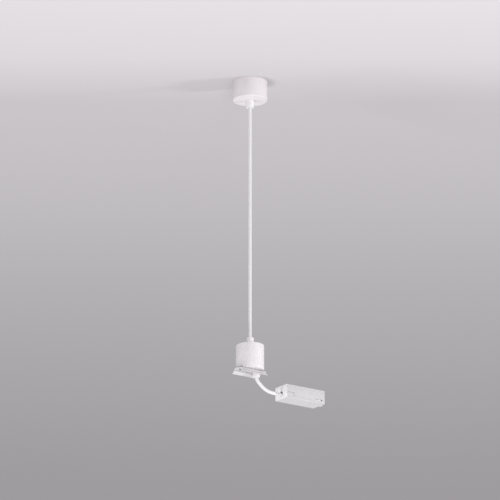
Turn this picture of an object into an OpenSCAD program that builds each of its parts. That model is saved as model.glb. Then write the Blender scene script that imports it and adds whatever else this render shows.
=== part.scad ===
// Pendant power feed for a track light.
// The origin is the centre of the canopy on the ceiling. +Z is up, so the part hangs to -Z,
// and +X runs along the track towards the connector block.

/* [Suspension] */
// Drop from the ceiling to the top of the can
can_drop = 480; // [300:1:900]
// Outer diameter of the supply cable
cable_d = 5.8; // [5:0.1:6.2]

/* [Canopy] */
// Outer diameter of the canopy
canopy_d = 60; // [54:1:80]
// Height of the canopy
canopy_h = 35; // [33:1:50]
// Wall thickness of the canopy
canopy_wall = 1.5; // [1:0.1:2]
// Radius of the canopy's lower edge
canopy_edge_r = 1.2; // [0.5:0.1:1.4]

/* [Can] */
// Outer diameter of the can
can_d = 48.6; // [47:0.1:53]
// Height of the can
can_h = 44.6; // [42:0.1:60]
// Wall thickness of the can
can_wall = 1.5; // [1:0.1:1.8]
// Radius of the can's upper edge
can_edge_r = 1; // [0.5:0.1:1.2]

/* [Cord grips] */
// Outer diameter of a cord grip
grip_d = 13; // [13:0.1:13.6]
// Height of the collar on the canopy and can grips
collar_h = 5; // [4:0.1:7]
// Height of the collar on the lead grip
lead_collar_h = 2; // [1.6:0.1:3]
// Height of a grip's cap
cap_h = 8.5; // [7.5:0.1:10]
// Diameter of a grip's threaded stem
stem_d = 10; // [9.4:0.1:10.4]
// Length of a grip's threaded stem
stem_l = 5.5; // [5.4:0.1:6]
// Place of the lead grip along the clip
lead_grip_x = 12.8; // [12.4:0.1:13.2]

/* [Ceiling plate] */
// Gap between the ceiling plate and the canopy's wall
plate_gap = 1.5; // [1:0.1:2]
// Thickness of the ceiling plate and of the base plate
plate_t = 1.5; // [1.2:0.1:2]
// Distance from a screw slot's middle to the plate's edge
slot_inset = 6.5; // [6:0.1:7.5]
// Width of a screw slot
slot_w = 4.2; // [3.6:0.1:4.6]
// Whole length of a screw slot
slot_l = 8; // [6:0.5:9]

/* [Straps] */
// Width of a strap
strap_w = 14; // [13.6:0.1:16]
// Sheet thickness of a strap
strap_t = 1.5; // [1.2:0.1:1.8]
// Distance between the outer faces of a strap's legs
strap_span = 30; // [28:0.5:31]
// Length of a strap's foot past its leg
foot_l = 5.5; // [5:0.1:6]
// Inner bend radius of a strap
bend_r = 1; // [0.5:0.1:1.5]

/* [Terminal block] */
// Distance between two poles
pole_pitch = 8; // [7.6:0.1:8.4]
// Height of the terminal housing
terminal_h = 12; // [11:0.5:13]
// Depth of the terminal housing along its wires
terminal_depth = 14; // [13:0.5:15]

/* [Track clip] */
// Length of the clip along the track
clip_l = 54.3; // [50:0.1:60]
// Width of the clip over its upright walls
clip_w = 18.8; // [17.5:0.1:21]
// Width of the clip over its lips
lip_span = 28.6; // [24:0.1:32]
// Height of the clip
clip_h = 8.5; // [7:0.1:12]
// Sheet thickness of the clip
clip_t = 1.2; // [1:0.1:1.5]
// Height of the clip's upright walls above the lips
clip_wall_h = 4; // [3:0.1:5]
// Height by which the clip sits in the can's notches
clip_rise = 1; // [0.6:0.1:1.8]
// Clearance of the can's notches above the clip
notch_gap = 2; // [0.3:0.1:3]

/* [Connector block] */
// Length of the connector block
block_l = 80; // [76:0.5:90]
// Width of the connector block
block_w = 34.5; // [33.5:0.1:40]
// Height of the connector block
block_h = 23.7; // [23:0.1:28]
// Wall thickness of the connector block
block_wall = 1.8; // [1.4:0.1:2.2]
// Distance from the canopy's axis to the block's cable end
block_x = 65.5; // [64:0.5:68]
// Distance of the block's top below the can's rim
block_drop = 16.7; // [16:0.1:17]
// Thickness of the cable end cap
end_cap_t = 2; // [1.5:0.1:3]
// Diameter of the cable hole in the end cap
cable_hole_d = 9; // [8.4:0.1:12]
// Width of the lock slide
slide_w = 8; // [6:0.1:10]
// Thickness of the lock slide
slide_t = 2; // [1.5:0.1:2.4]
// Reach of the lock slide's tongue past the block
tongue_l = 5.8; // [4:0.1:8]
// Travel of the lock slide
slide_travel = 5; // [3:0.1:5.5]

/* [Clearances] */
// Radial clearance of a part that turns or slides on another
fit_gap = 0.05; // [0.02:0.01:0.1]
// Clearance between a part and the part that it seats in
seat_gap = 0.3; // [0.2:0.05:0.4]

/* [Hidden] */

$fn = 64;
eps = 0.01;
cable_r = cable_d / 2;
grip_r = grip_d / 2;
stem_r = stem_d / 2;

// Ceiling plate
plate_d = canopy_d - 2 * canopy_wall - 2 * plate_gap;
slot_spacing = plate_d - 2 * slot_inset;

// Heights of the seats, from the ceiling down
can_rim_z = -can_drop - can_h;
clip_top_z = can_rim_z + clip_rise;
web_z = clip_top_z - clip_t;
base_top_z = clip_top_z + plate_t;
block_z = can_rim_z - block_drop - block_h;

// Cord grip, measured from the seat of its collar
pocket_r = 4.1;
nose_h = 3.4;
sleeve_h = 5;
sleeve_tip = 1.5;
cap_cavity_h = 3.6;
cap_throat_z = 5;
cap_throat_h = 1;
cap_mouth_r = 4.3;
cap_edge_r = 0.5;
seam_bevel = 0.35;
nut_h = 2.5;
nut_flats = 14;

// Strap and rivets
rivet_r = 1.5;
rivet_head_r = 2.6;
rivet_head_h = 1.1;
rivet_y = strap_span / 2 + foot_l / 2 + 0.3;
base_plate_r = can_d / 2 - can_wall - 0.4;

// Terminal block
tube_r = 2.3;
tube_bore_r = 1.3;
pole_z = -plate_t - terminal_h / 2 - 0.3;
terminal_screw_r = 1.4;
terminal_screw_y = 3.4;
fixing_screw_r = 1.1;
fixing_head_r = 1.9;
supply_hole_r = 3.4;
supply_hole_y = 11.2;

// Clip screws, along the clip on the side away from the lead grip
clip_screw_x = [-19, -6];
clip_screw_r = 1.5;
clip_screw_head_r = 2.7;
clip_screw_head_h = 1.8;
clip_screw_l = 5;

// Connector block, in its own frame: x from the cable end, z from the underside
cable_in_z = 7.8;
hole_in_z = 9.1;
cover_t = 2;
floor_t = 1.8;
floor_lock_t = 4.2;
lock_zone_x = 44;
slide_z = 1;
slide_back = 26;
stud_x = 12;
contact_x = 30;
contact_cube = [8, 6, 8];
contact_y = 10;
contact_z = 4.2;
contact_screw_r = 1.4;
strip_t = 0.8;
window_x = 61.5;
window_l = 13;
window_h = 2.4;
nose_sink = 0.5;
window_z = 5.4;
earth_window_l = 14;
earth_window_w = 5;
snap_x = 2;
snap_l = 13.5;
snap_z = 2.4;
snap_h = 7.6;
clamp_x = 8;
clamp_l = 6;
clamp_w = 19;
clamp_bar_h = 2.6;
clamp_screw_y = 6.4;
clamp_screw_r = 1.4;
cover_screw_at = [[22, 10.6], [56, -9.2]];
cover_screw_r = 1.4;
cover_screw_head_r = 2.6;
cover_screw_head_h = 1.1;
cover_screw_l = 11;
clamp_screw_head_h = 1.8;
clamp_screw_l = 10;
boss_r = 3;

// Cores: where each lies in the cable, and how they fan out to their poles
core_d = 2;
core_side = 1.3;
core_lift = 0.7;
core_drop = -1.4;
ceiling_fan_y = [-6, -11.4, -10.4, -8, -3.6];
ceiling_fan_z = [-22, -17.6, -12.9, -8.9];
block_fan_x = [17.5, 24.5];
block_fan_end = 6;
cable_end_x = 81;

// Route of the cable: an even straight stretch, then its way through the can into the block
cable_top_z = -24;
hang_end_z = -486;
hang_rings = 24;
hang_route = [for (i = [0:hang_rings - 1])
    [0, 0, cable_top_z + (hang_end_z - cable_top_z) * i / (hang_rings - 1)]];
lead_end_z = block_z + cable_in_z;
lead_route = [[0.8, 0, -492.2], [3.2, 0, -498], [6.4, 0, -502.3], [9.6, 0, -506.6],
    [12, 0, -512.4], [12.8, 0, -518.6], [12.8, 0, -531], [13.1, 0, -534.6], [14.1, 0, -537.8],
    [15.8, 0, -540.4], [18.4, 0, -543.3], [21.8, 0, -546.2], [25.6, 0, -549.3],
    [30, 0, -552.1], [35.6, 0, -554.7], [42, 0, lead_end_z + 0.9], [49, 0, lead_end_z + 0.2],
    [57, 0, lead_end_z], [66, 0, lead_end_z], [cable_end_x, 0, lead_end_z]];
supply_route = concat(hang_route, lead_route);

// Sweeping of a round tube along a route
function unit(v) = v / norm(v);
function heading(p, i) =
    i == 0 ? unit(p[1] - p[0]) :
    i == len(p) - 1 ? unit(p[i] - p[i - 1]) :
    unit(unit(p[i + 1] - p[i]) + unit(p[i] - p[i - 1]));
function ring(p, i, r, sides, side) =
    let (t = heading(p, i), u = unit(side - (side * t) * t), w = cross(t, u))
    [for (k = [0:sides - 1]) p[i] + r * (cos(360 * k / sides) * u + sin(360 * k / sides) * w)];

module swept_tube(p, d, sides, side) {
    rings = len(p);
    walls = [for (i = [0:rings - 2]) for (k = [0:sides - 1])
        let (a = i * sides + k, b = i * sides + (k + 1) % sides)
        each [[a, a + sides, b + sides], [a, b + sides, b]]];
    polyhedron(
        points = [for (i = [0:rings - 1]) each ring(p, i, d / 2, sides, side)],
        faces = concat(walls, [[for (k = [0:sides - 1]) k]],
            [[for (k = [sides - 1:-1:0]) (rings - 1) * sides + k]]));
}

// A rectangle with round corners, from its lower left to its upper right corner
module round_rect(x0, y0, x1, y1, r) {
    translate([x0 + r, y0]) square([x1 - x0 - 2 * r, y1 - y0]);
    translate([x0, y0 + r]) square([x1 - x0, y1 - y0 - 2 * r]);
    for (x = [x0 + r, x1 - r]) for (y = [y0 + r, y1 - r]) translate([x, y]) circle(r, $fn = 32);
}

// A cup standing on its closed end, with a round outer edge there and a hole in it
module cup(d, h, wall, edge_r, hole_r) {
    rotate_extrude() difference() {
        intersection() {
            round_rect(-d, 0, d / 2, h + d, edge_r);
            square([d, h]);
        }
        translate([-eps, wall]) square([d / 2 - wall + eps, h]);
        translate([-eps, -eps]) square([hole_r + eps, wall + 2 * eps]);
    }
}

// Cord grip parts, standing on the seat of the collar
module grip_base(collar) {
    rotate_extrude() polygon([
        [cable_r + fit_gap, -stem_l], [stem_r - 0.5, -stem_l], [stem_r, -stem_l + 0.5],
        [stem_r, 0], [grip_r, 0], [grip_r, collar - seam_bevel], [grip_r - seam_bevel, collar],
        [stem_r, collar], [stem_r, collar + nose_h - 0.4], [stem_r - 0.4, collar + nose_h],
        [pocket_r, collar + nose_h], [pocket_r, collar - 1], [cable_r + fit_gap, collar - 1]]);
}

module grip_sleeve(collar) {
    rotate_extrude() polygon([
        [cable_r + fit_gap, collar - 1], [pocket_r - fit_gap, collar - 1],
        [pocket_r - fit_gap, collar - 1 + sleeve_h - sleeve_tip],
        [pocket_r - 0.5, collar - 1 + sleeve_h], [cable_r + fit_gap, collar - 1 + sleeve_h]]);
}

module grip_cap(collar) {
    throat_r = cable_r + 0.4;
    translate([0, 0, collar]) rotate_extrude() difference() {
        union() {
            translate([0, seam_bevel]) square([grip_r, cap_h - cap_edge_r - seam_bevel]);
            square([grip_r - cap_edge_r, cap_h]);
            polygon([[0, 0], [grip_r - seam_bevel, 0], [grip_r, seam_bevel], [0, seam_bevel]]);
            translate([grip_r - cap_edge_r, cap_h - cap_edge_r]) circle(cap_edge_r, $fn = 32);
        }
        polygon([[-1, -1], [stem_r + fit_gap, -1], [stem_r + fit_gap, cap_cavity_h],
            [throat_r, cap_throat_z], [throat_r, cap_throat_z + cap_throat_h],
            [cap_mouth_r, cap_h], [cap_mouth_r, cap_h + 1], [-1, cap_h + 1]]);
    }
}

// Places of the three grips: the upper and the lead grip point down, the lower one up
module at_upper_grip() { translate([0, 0, -canopy_h]) mirror([0, 0, 1]) children(); }
module at_lower_grip() { translate([0, 0, -can_drop]) children(); }
module at_lead_grip() { translate([lead_grip_x, 0, web_z]) mirror([0, 0, 1]) children(); }

// A strap: a web at z = 0 with legs that rise to feet at z = h
module strap(h) {
    half = strap_span / 2;
    out_r = bend_r + strap_t;
    difference() {
        rotate([90, 0, 90]) translate([0, 0, -strap_w / 2]) linear_extrude(strap_w) {
            difference() {
                intersection() {
                    round_rect(-half, 0, half, 2 * h, out_r);
                    translate([-half, 0]) square([2 * half, h]);
                }
                round_rect(-half + strap_t, strap_t, half - strap_t, 3 * h, bend_r);
            }
            for (s = [-1, 1]) translate([s > 0 ? half - strap_t : -half - foot_l, h - strap_t])
                square([foot_l + strap_t, strap_t]);
        }
        translate([0, 0, -1]) cylinder(r = stem_r + fit_gap, h = strap_t + 2);
        for (s = [-1, 1]) translate([0, s * rivet_y, h - strap_t - 1])
            cylinder(r = rivet_r + fit_gap, h = strap_t + 2);
    }
}

// A rivet through foot and plate: z = 0 is the outer face of the plate
module rivet() {
    cylinder(r = rivet_r, h = plate_t + strap_t);
    translate([0, 0, plate_t + strap_t]) rotate_extrude() polygon([
        [0, 0], [rivet_head_r, 0], [rivet_head_r - 0.3, 0.6], [rivet_head_r - 1, rivet_head_h],
        [0, rivet_head_h]]);
}

// A screw with a cross recess: its head's underside is at z = 0 and its shank points down
module screw(r, l, head_r, head_h) {
    difference() {
        union() {
            translate([0, 0, -l]) cylinder(r = r, h = l);
            rotate_extrude() polygon([[0, 0], [head_r, 0], [head_r, head_h * 0.5],
                [head_r * 0.7, head_h], [0, head_h]]);
        }
        for (a = [0, 90]) rotate(a) translate([-head_r * 0.5, -0.3, head_h * 0.4])
            cube([head_r, 0.6, head_h]);
    }
}

// A slotted grub screw whose outer end is at z = 0
module grub_screw(r, l) {
    difference() {
        translate([0, 0, -l]) cylinder(r = r, h = l);
        translate([-r - 1, -0.25, -0.8]) cube([2 * r + 2, 0.5, 1]);
    }
}

// Ceiling end
module ceiling_plate() {
    color("silver") difference() {
        translate([0, 0, -plate_t]) cylinder(d = plate_d, h = plate_t);
        for (s = [-1, 1]) translate([s * slot_spacing / 2, 0, -plate_t - 1]) {
            for (e = [-1, 1]) translate([e * (slot_l - slot_w) / 2, 0, 0])
                cylinder(d = slot_w, h = plate_t + 2);
            translate([-(slot_l - slot_w) / 2, -slot_w / 2, 0])
                cube([slot_l - slot_w, slot_w, plate_t + 2]);
        }
        for (s = [-1, 1]) translate([0, s * rivet_y, -plate_t - 1])
            cylinder(r = rivet_r + fit_gap, h = plate_t + 2);
        translate([0, supply_hole_y, -plate_t - 1]) cylinder(r = supply_hole_r, h = plate_t + 2);
        for (s = [-1, 1]) translate([s * pole_pitch / 2, 0, -plate_t - 1])
            cylinder(r = fixing_screw_r + fit_gap, h = plate_t + 2);
    }
}

module ceiling_strap() {
    web_bottom_z = -canopy_h + canopy_wall;
    color("silver") translate([0, 0, web_bottom_z]) strap(-plate_t - web_bottom_z);
}

module ceiling_rivets() {
    color("silver") for (s = [-1, 1]) translate([0, s * rivet_y, 0]) mirror([0, 0, 1]) rivet();
}

module terminal_housing() {
    half_d = terminal_depth / 2;
    color("white") difference() {
        union() {
            for (p = [-1:1]) rotate([90, 0, 0]) translate([0, 0, -half_d])
                linear_extrude(terminal_depth)
                round_rect(p * pole_pitch - pole_pitch / 2 + 0.2, -plate_t - terminal_h,
                    p * pole_pitch + pole_pitch / 2 - 0.2, -plate_t, 1);
            translate([-1.5 * pole_pitch + 2, -half_d + 1, -plate_t - terminal_h + 2])
                cube([3 * pole_pitch - 4, terminal_depth - 2, terminal_h - 2]);
        }
        for (p = [-1:1]) {
            translate([p * pole_pitch, half_d + 1, pole_z]) rotate([90, 0, 0])
                cylinder(r = tube_r + fit_gap, h = terminal_depth + 2);
            for (s = [-1, 1])
                translate([p * pole_pitch, s * terminal_screw_y, -plate_t - terminal_h - 1])
                cylinder(r = terminal_screw_r + 0.3, h = terminal_h / 2);
        }
        for (s = [-1, 1]) translate([s * pole_pitch / 2, 0, -plate_t - terminal_h - 1])
            cylinder(r = fixing_screw_r + fit_gap, h = terminal_h + 2);
    }
}

module terminal_tubes() {
    length = terminal_depth - 1;
    color("gold") for (p = [-1:1]) difference() {
        translate([p * pole_pitch, length / 2, pole_z]) rotate([90, 0, 0])
            cylinder(r = tube_r, h = length);
        translate([p * pole_pitch, length / 2 + 1, pole_z]) rotate([90, 0, 0])
            cylinder(r = tube_bore_r, h = length + 2);
        for (s = [-1, 1]) translate([p * pole_pitch, s * terminal_screw_y, pole_z - tube_r - 1])
            cylinder(r = terminal_screw_r + fit_gap, h = tube_r + 1);
    }
}

module terminal_screws() {
    color("gold") for (p = [-1:1]) for (s = [-1, 1])
        translate([p * pole_pitch, s * terminal_screw_y, -plate_t - terminal_h + 1])
        mirror([0, 0, 1]) grub_screw(terminal_screw_r, pole_z + plate_t + terminal_h - 1 - 1.1);
}

module terminal_fixing_screws() {
    color("silver") for (s = [-1, 1])
        translate([s * pole_pitch / 2, 0, -plate_t - terminal_h]) mirror([0, 0, 1])
        screw(fixing_screw_r, terminal_h + plate_t - 0.2, fixing_head_r, 1.2);
}

// Canopy and its grip
module canopy_cup() {
    color("white") translate([0, 0, -canopy_h])
        cup(canopy_d, canopy_h, canopy_wall, canopy_edge_r, stem_r + fit_gap);
}

module upper_grip_base() { color("white") at_upper_grip() grip_base(collar_h); }
module upper_grip_sleeve() { color("lightgray") at_upper_grip() grip_sleeve(collar_h); }
module upper_grip_cap() { color("white") at_upper_grip() grip_cap(collar_h); }

// Can and its grip
module can_cover() {
    notch_w = clip_w + 2 * seat_gap;
    color("white") difference() {
        translate([0, 0, -can_drop]) mirror([0, 0, 1])
            cup(can_d, can_h, can_wall, can_edge_r, stem_r + fit_gap);
        translate([-can_d, -notch_w / 2, can_rim_z - 1])
            cube([2 * can_d, notch_w, 1 + clip_rise + notch_gap]);
    }
}

module lower_grip_base() { color("white") at_lower_grip() grip_base(collar_h); }
module lower_grip_sleeve() { color("lightgray") at_lower_grip() grip_sleeve(collar_h); }
module lower_grip_cap() { color("white") at_lower_grip() grip_cap(collar_h); }

// Clip end
module can_strap() {
    web_top_z = -can_drop - can_wall;
    color("silver") translate([0, 0, web_top_z]) mirror([0, 0, 1]) strap(web_top_z - base_top_z);
}

module can_rivets() {
    color("silver") for (s = [-1, 1]) translate([0, s * rivet_y, clip_top_z]) rivet();
}

module base_plate() {
    color("silver") difference() {
        translate([0, 0, clip_top_z]) cylinder(r = base_plate_r, h = plate_t);
        translate([lead_grip_x, 0, clip_top_z - 1]) cylinder(r = stem_r + fit_gap, h = plate_t + 2);
        for (s = [-1, 1]) translate([0, s * rivet_y, clip_top_z - 1])
            cylinder(r = rivet_r + fit_gap, h = plate_t + 2);
        for (x = clip_screw_x) translate([x, 0, clip_top_z - 1])
            cylinder(r = clip_screw_r + fit_gap, h = plate_t + 2);
    }
}

// The clip's section: the points from its middle to the tip of one lip and back, then mirrored
module clip_section() {
    w = clip_w / 2;
    tip = lip_span / 2;
    knee = -clip_wall_h;
    tip_h = 1;
    slope = (tip - w) / (clip_h - clip_wall_h - tip_h);
    inner_knee = knee - clip_t * (sqrt(1 + slope * slope) - 1) / slope;
    half = [[w - 0.6, 0], [w - 0.18, -0.18], [w, -0.6], [w, knee],
        [tip, -clip_h + tip_h], [tip, -clip_h], [tip - clip_t, -clip_h],
        [tip - clip_t, inner_knee - (tip - w) / slope], [w - clip_t, inner_knee],
        [w - clip_t, -clip_t - 0.4], [w - clip_t - 0.4, -clip_t]];
    last = len(half) - 1;
    polygon(concat(half, [for (i = [last:-1:0]) [-half[i][0], half[i][1]]]));
}

module track_clip() {
    color("white") difference() {
        translate([-clip_l / 2, 0, clip_top_z]) rotate([90, 0, 90]) linear_extrude(clip_l)
            clip_section();
        translate([lead_grip_x, 0, web_z - 1]) cylinder(r = stem_r + fit_gap, h = clip_t + 2);
        for (x = clip_screw_x) translate([x, 0, web_z - 1])
            cylinder(r = clip_screw_r + fit_gap, h = clip_t + 2);
    }
}

module clip_screws() {
    color("silver") for (x = clip_screw_x) translate([x, 0, web_z]) mirror([0, 0, 1])
        screw(clip_screw_r, clip_screw_l, clip_screw_head_r, clip_screw_head_h);
}

module lead_grip_base() { color("white") at_lead_grip() grip_base(lead_collar_h); }
module lead_grip_sleeve() { color("lightgray") at_lead_grip() grip_sleeve(lead_collar_h); }
module lead_grip_cap() { color("white") at_lead_grip() grip_cap(lead_collar_h); }

module lead_grip_nut() {
    color("silver") translate([lead_grip_x, 0, base_top_z]) difference() {
        rotate(30) cylinder(d = nut_flats / cos(30), h = nut_h, $fn = 6);
        translate([0, 0, -1]) cylinder(r = stem_r + fit_gap, h = nut_h + 2);
    }
}

// Cable and cores
module supply_cable() { color("white") swept_tube(supply_route, cable_d, 10, [0, 1, 0]); }

function core_start(p) = p == 0 ? [0, core_drop] : [p * core_side, core_lift];

module ceiling_core(p) {
    s = core_start(p);
    x = p * pole_pitch;
    y = ceiling_fan_y;
    z = ceiling_fan_z;
    swept_tube([[s[0], s[1], cable_top_z], [s[0], s[1], z[0]], [x * 0.5, y[0], z[1]],
        [x, y[1], z[2]], [x, y[2], z[3]], [x, y[3], pole_z], [x, y[4], pole_z]],
        core_d, 8, [1, 0, 0]);
}

module ceiling_live_core() { color("saddlebrown") ceiling_core(-1); }
module ceiling_neutral_core() { color("steelblue") ceiling_core(1); }
module ceiling_earth_core() { color("yellowgreen") ceiling_core(0); }

// Connector block
module at_block() { translate([block_x, 0, block_z]) children(); }

module block_outline(x0, x1, r) {
    rotate([90, 0, 90]) translate([0, 0, x0]) linear_extrude(x1 - x0)
        round_rect(-block_w / 2, 0, block_w / 2, block_h, r);
}

// Saddle that the cable lies in, below the clamp bar
module cable_saddle() {
    difference() {
        translate([clamp_x, -clamp_w / 2, floor_t - eps])
            cube([clamp_l, clamp_w, cable_in_z - floor_t - 0.2]);
        translate([clamp_x - 1, 0, cable_in_z]) rotate([0, 90, 0])
            cylinder(r = cable_r + fit_gap, h = clamp_l + 2);
        for (s = [-1, 1]) translate([clamp_x + clamp_l / 2, s * clamp_screw_y, floor_t + 1])
            cylinder(r = clamp_screw_r + fit_gap, h = cable_in_z);
    }
}

module block_base() {
    in_w = block_w - 2 * block_wall;
    color("gainsboro") at_block() {
        difference() {
            intersection() {
                block_outline(end_cap_t, block_l, 1);
                cube([2 * block_l, 2 * block_w, 2 * (block_h - cover_t)], center = true);
            }
            translate([-1, -in_w / 2, floor_t]) cube([lock_zone_x + 1, in_w, block_h]);
            translate([lock_zone_x - 1, -in_w / 2, floor_lock_t])
                cube([block_l - block_wall - lock_zone_x + 1, in_w, block_h]);
            translate([block_l - slide_back - slide_travel - seat_gap, -slide_w / 2 - 0.2,
                slide_z - 0.1]) cube([block_l, slide_w + 0.4, slide_t + 0.2]);
            translate([block_l - slide_back + stud_x - 2 - slide_travel - seat_gap, -2.4, -1])
                cube([4 + slide_travel + 2 * seat_gap, 4.8, slide_z + 1.2]);
            for (s = [-1, 1]) {
                translate([window_x, s * block_w / 2 - 3, window_z - window_h / 2])
                    cube([window_l, 6, window_h]);
                translate([snap_x - 1, s * block_w / 2 - 3, snap_z])
                    cube([snap_l + 1, 6, snap_h]);
            }
        }
        cable_saddle();
        for (at = cover_screw_at) difference() {
            foot = at[0] > lock_zone_x ? floor_lock_t : floor_t;
            translate([at[0], at[1], foot - eps])
                cylinder(r = boss_r, h = block_h - cover_t - foot + eps);
            translate([at[0], at[1], foot + 2])
                cylinder(r = cover_screw_r + fit_gap, h = block_h);
        }
        for (y = [-contact_y, 0, contact_y])
            translate([contact_x, y - contact_cube[1] / 2 + seat_gap, floor_t - eps])
            cube([contact_cube[0], contact_cube[1] - 2 * seat_gap, contact_z - floor_t + eps]);
    }
}

module block_cover() {
    rim = 1.2;
    in_w = block_w - 2 * block_wall - 2 * 0.1;
    color("gainsboro") at_block() difference() {
        union() {
            intersection() {
                block_outline(end_cap_t, block_l, 1);
                translate([0, -block_w, block_h - cover_t])
                    cube([2 * block_l, 2 * block_w, cover_t]);
            }
            difference() {
                translate([end_cap_t + 14, -in_w / 2, block_h - cover_t - 2])
                    cube([block_l - block_wall - end_cap_t - 14.1, in_w, 2 + eps]);
                translate([end_cap_t + 14 + rim, -in_w / 2 + rim, block_h - cover_t - 3])
                    cube([block_l - block_wall - end_cap_t - 14.1 - 2 * rim, in_w - 2 * rim, 3]);
            }
        }
        translate([window_x, -earth_window_w / 2, block_h - cover_t - 1])
            cube([earth_window_l, earth_window_w, cover_t + 2]);
        for (at = cover_screw_at) translate([at[0], at[1], block_h - cover_t - 3]) {
            cylinder(r = cover_screw_r + 0.1, h = cover_t + 4);
            translate([0, 0, 3 + cover_t - 1.2]) cylinder(r = cover_screw_head_r + 0.2, h = 2);
        }
    }
}

module cable_end_cap() {
    tab_t = 1.2;
    tab_y = block_w / 2 - 0.5;
    color("white") at_block() {
        difference() {
            block_outline(0, end_cap_t, 1);
            translate([-1, 0, hole_in_z]) rotate([0, 90, 0])
                cylinder(d = cable_hole_d, h = end_cap_t + 2);
        }
        for (s = [-1, 1]) {
            translate([end_cap_t - eps, s > 0 ? tab_y - tab_t : -tab_y, snap_z + seat_gap])
                cube([snap_l - seat_gap, tab_t, snap_h - 2 * seat_gap]);
        }
    }
}

module cover_screws() {
    color("silver") at_block() for (at = cover_screw_at)
        translate([at[0], at[1], block_h - 1.2])
        screw(cover_screw_r, cover_screw_l, cover_screw_head_r, cover_screw_head_h);
}

module cord_clamp_bar() {
    color("gainsboro") at_block() difference() {
        translate([clamp_x, -clamp_w / 2, cable_in_z + cable_r]) cube([clamp_l, clamp_w, clamp_bar_h]);
        for (s = [-1, 1])
            translate([clamp_x + clamp_l / 2, s * clamp_screw_y, cable_in_z])
            cylinder(r = clamp_screw_r + 0.1, h = block_h);
    }
}

module cord_clamp_screws() {
    color("silver") at_block() for (s = [-1, 1])
        translate([clamp_x + clamp_l / 2, s * clamp_screw_y, cable_in_z + cable_r + clamp_bar_h])
        screw(clamp_screw_r, clamp_screw_l, cover_screw_head_r, clamp_screw_head_h);
}

// A contact's clamp, at the origin of its lower front edge's middle
module contact_clamp() {
    difference() {
        translate([0, -contact_cube[1] / 2, 0]) cube(contact_cube);
        translate([-1, 0, cable_in_z - contact_z]) rotate([0, 90, 0])
            cylinder(r = core_d / 2 + 0.1, h = contact_cube[0] - 1);
        translate([contact_cube[0] / 2, 0, cable_in_z - contact_z])
            cylinder(r = contact_screw_r + fit_gap, h = contact_cube[2]);
    }
}

// The spring strip of a side contact, seen from above, for the side at +Y: its nose stands in
// the window, just under the block's outer face
module side_strip() {
    wall_y = block_w / 2 - block_wall - seat_gap;
    nose_y = block_w / 2 - nose_sink;
    back = contact_x + contact_cube[0] - 2;
    nose = window_x + window_l / 2;
    ramp = 0.35;
    polygon([[back, contact_y + contact_cube[1] / 2 - eps], [back, wall_y - 1],
        [back + 1, wall_y], [window_x + 1, wall_y], [nose - 2, nose_y], [nose + 2, nose_y],
        [window_x + window_l - 1, wall_y], [window_x + window_l + 1.5, wall_y],
        [window_x + window_l + 1.5, wall_y - strip_t],
        [window_x + window_l - 1 - ramp, wall_y - strip_t], [nose + 2 - ramp, nose_y - strip_t],
        [nose - 2 + ramp, nose_y - strip_t], [window_x + 1 + ramp, wall_y - strip_t],
        [back + 1.4, wall_y - strip_t], [back + strip_t, wall_y - 1.4],
        [back + strip_t, contact_y + contact_cube[1] / 2 - eps]]);
}

module side_contact(s) {
    at_block() mirror([0, s > 0 ? 0 : 1, 0]) {
        translate([contact_x, contact_y, contact_z]) contact_clamp();
        translate([0, 0, window_z - window_h / 2 + seat_gap])
            linear_extrude(window_h - 2 * seat_gap) side_strip();
    }
}

module live_contact() { color("gold") side_contact(-1); }
module neutral_contact() { color("gold") side_contact(1); }

module earth_contact() {
    back = contact_x + contact_cube[0];
    low = contact_z + 4;
    high = block_h - cover_t - 2.6;
    crest = block_h - 0.4;
    mid = window_x + earth_window_l / 2;
    color("gold") at_block() {
        translate([contact_x, 0, contact_z]) contact_clamp();
        translate([0, 2, 0]) rotate([90, 0, 0]) linear_extrude(4) polygon([
            [back - eps, low], [back + 5, low], [window_x - 3, high], [window_x + 1, high],
            [mid - 2, crest - strip_t], [mid + 2, crest - strip_t],
            [window_x + earth_window_l - 1, high], [window_x + earth_window_l - 1, high + strip_t],
            [mid + 2.4, crest], [mid - 2.4, crest], [window_x + 0.6, high + strip_t],
            [window_x - 3.4, high + strip_t], [back + 4.6, low + strip_t],
            [back - eps, low + strip_t]]);
    }
}

module contact_screws() {
    color("silver") at_block() for (y = [-contact_y, 0, contact_y])
        translate([contact_x + contact_cube[0] / 2, y, contact_z + contact_cube[2] + 0.6])
        grub_screw(contact_screw_r, contact_z + contact_cube[2] + 0.5 - cable_in_z - core_d / 2);
}

module lock_slide() {
    length = slide_back + tongue_l;
    color("white") at_block() translate([block_l - slide_back, 0, 0]) {
        translate([0, -slide_w / 2, slide_z]) cube([length - 1, slide_w, slide_t]);
        translate([length - 1 - eps, -slide_w / 2 + 1, slide_z]) cube([1 + eps, slide_w - 2, slide_t]);
        translate([stud_x - 2, -2, 0.2]) cube([4, 4, slide_z]);
    }
}

module block_core(p) {
    s = core_start(p);
    y = p * contact_y;
    at_block() swept_tube([[cable_end_x - block_x, s[0], cable_in_z + s[1]],
        [block_fan_x[0], s[0], cable_in_z + s[1]], [block_fan_x[1], y * 0.75, cable_in_z],
        [contact_x - 2, y, cable_in_z], [contact_x + block_fan_end, y, cable_in_z]],
        core_d, 8, [0, 0, 1]);
}

module block_live_core() { color("saddlebrown") block_core(-1); }
module block_neutral_core() { color("steelblue") block_core(1); }
module block_earth_core() { color("yellowgreen") block_core(0); }

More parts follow.
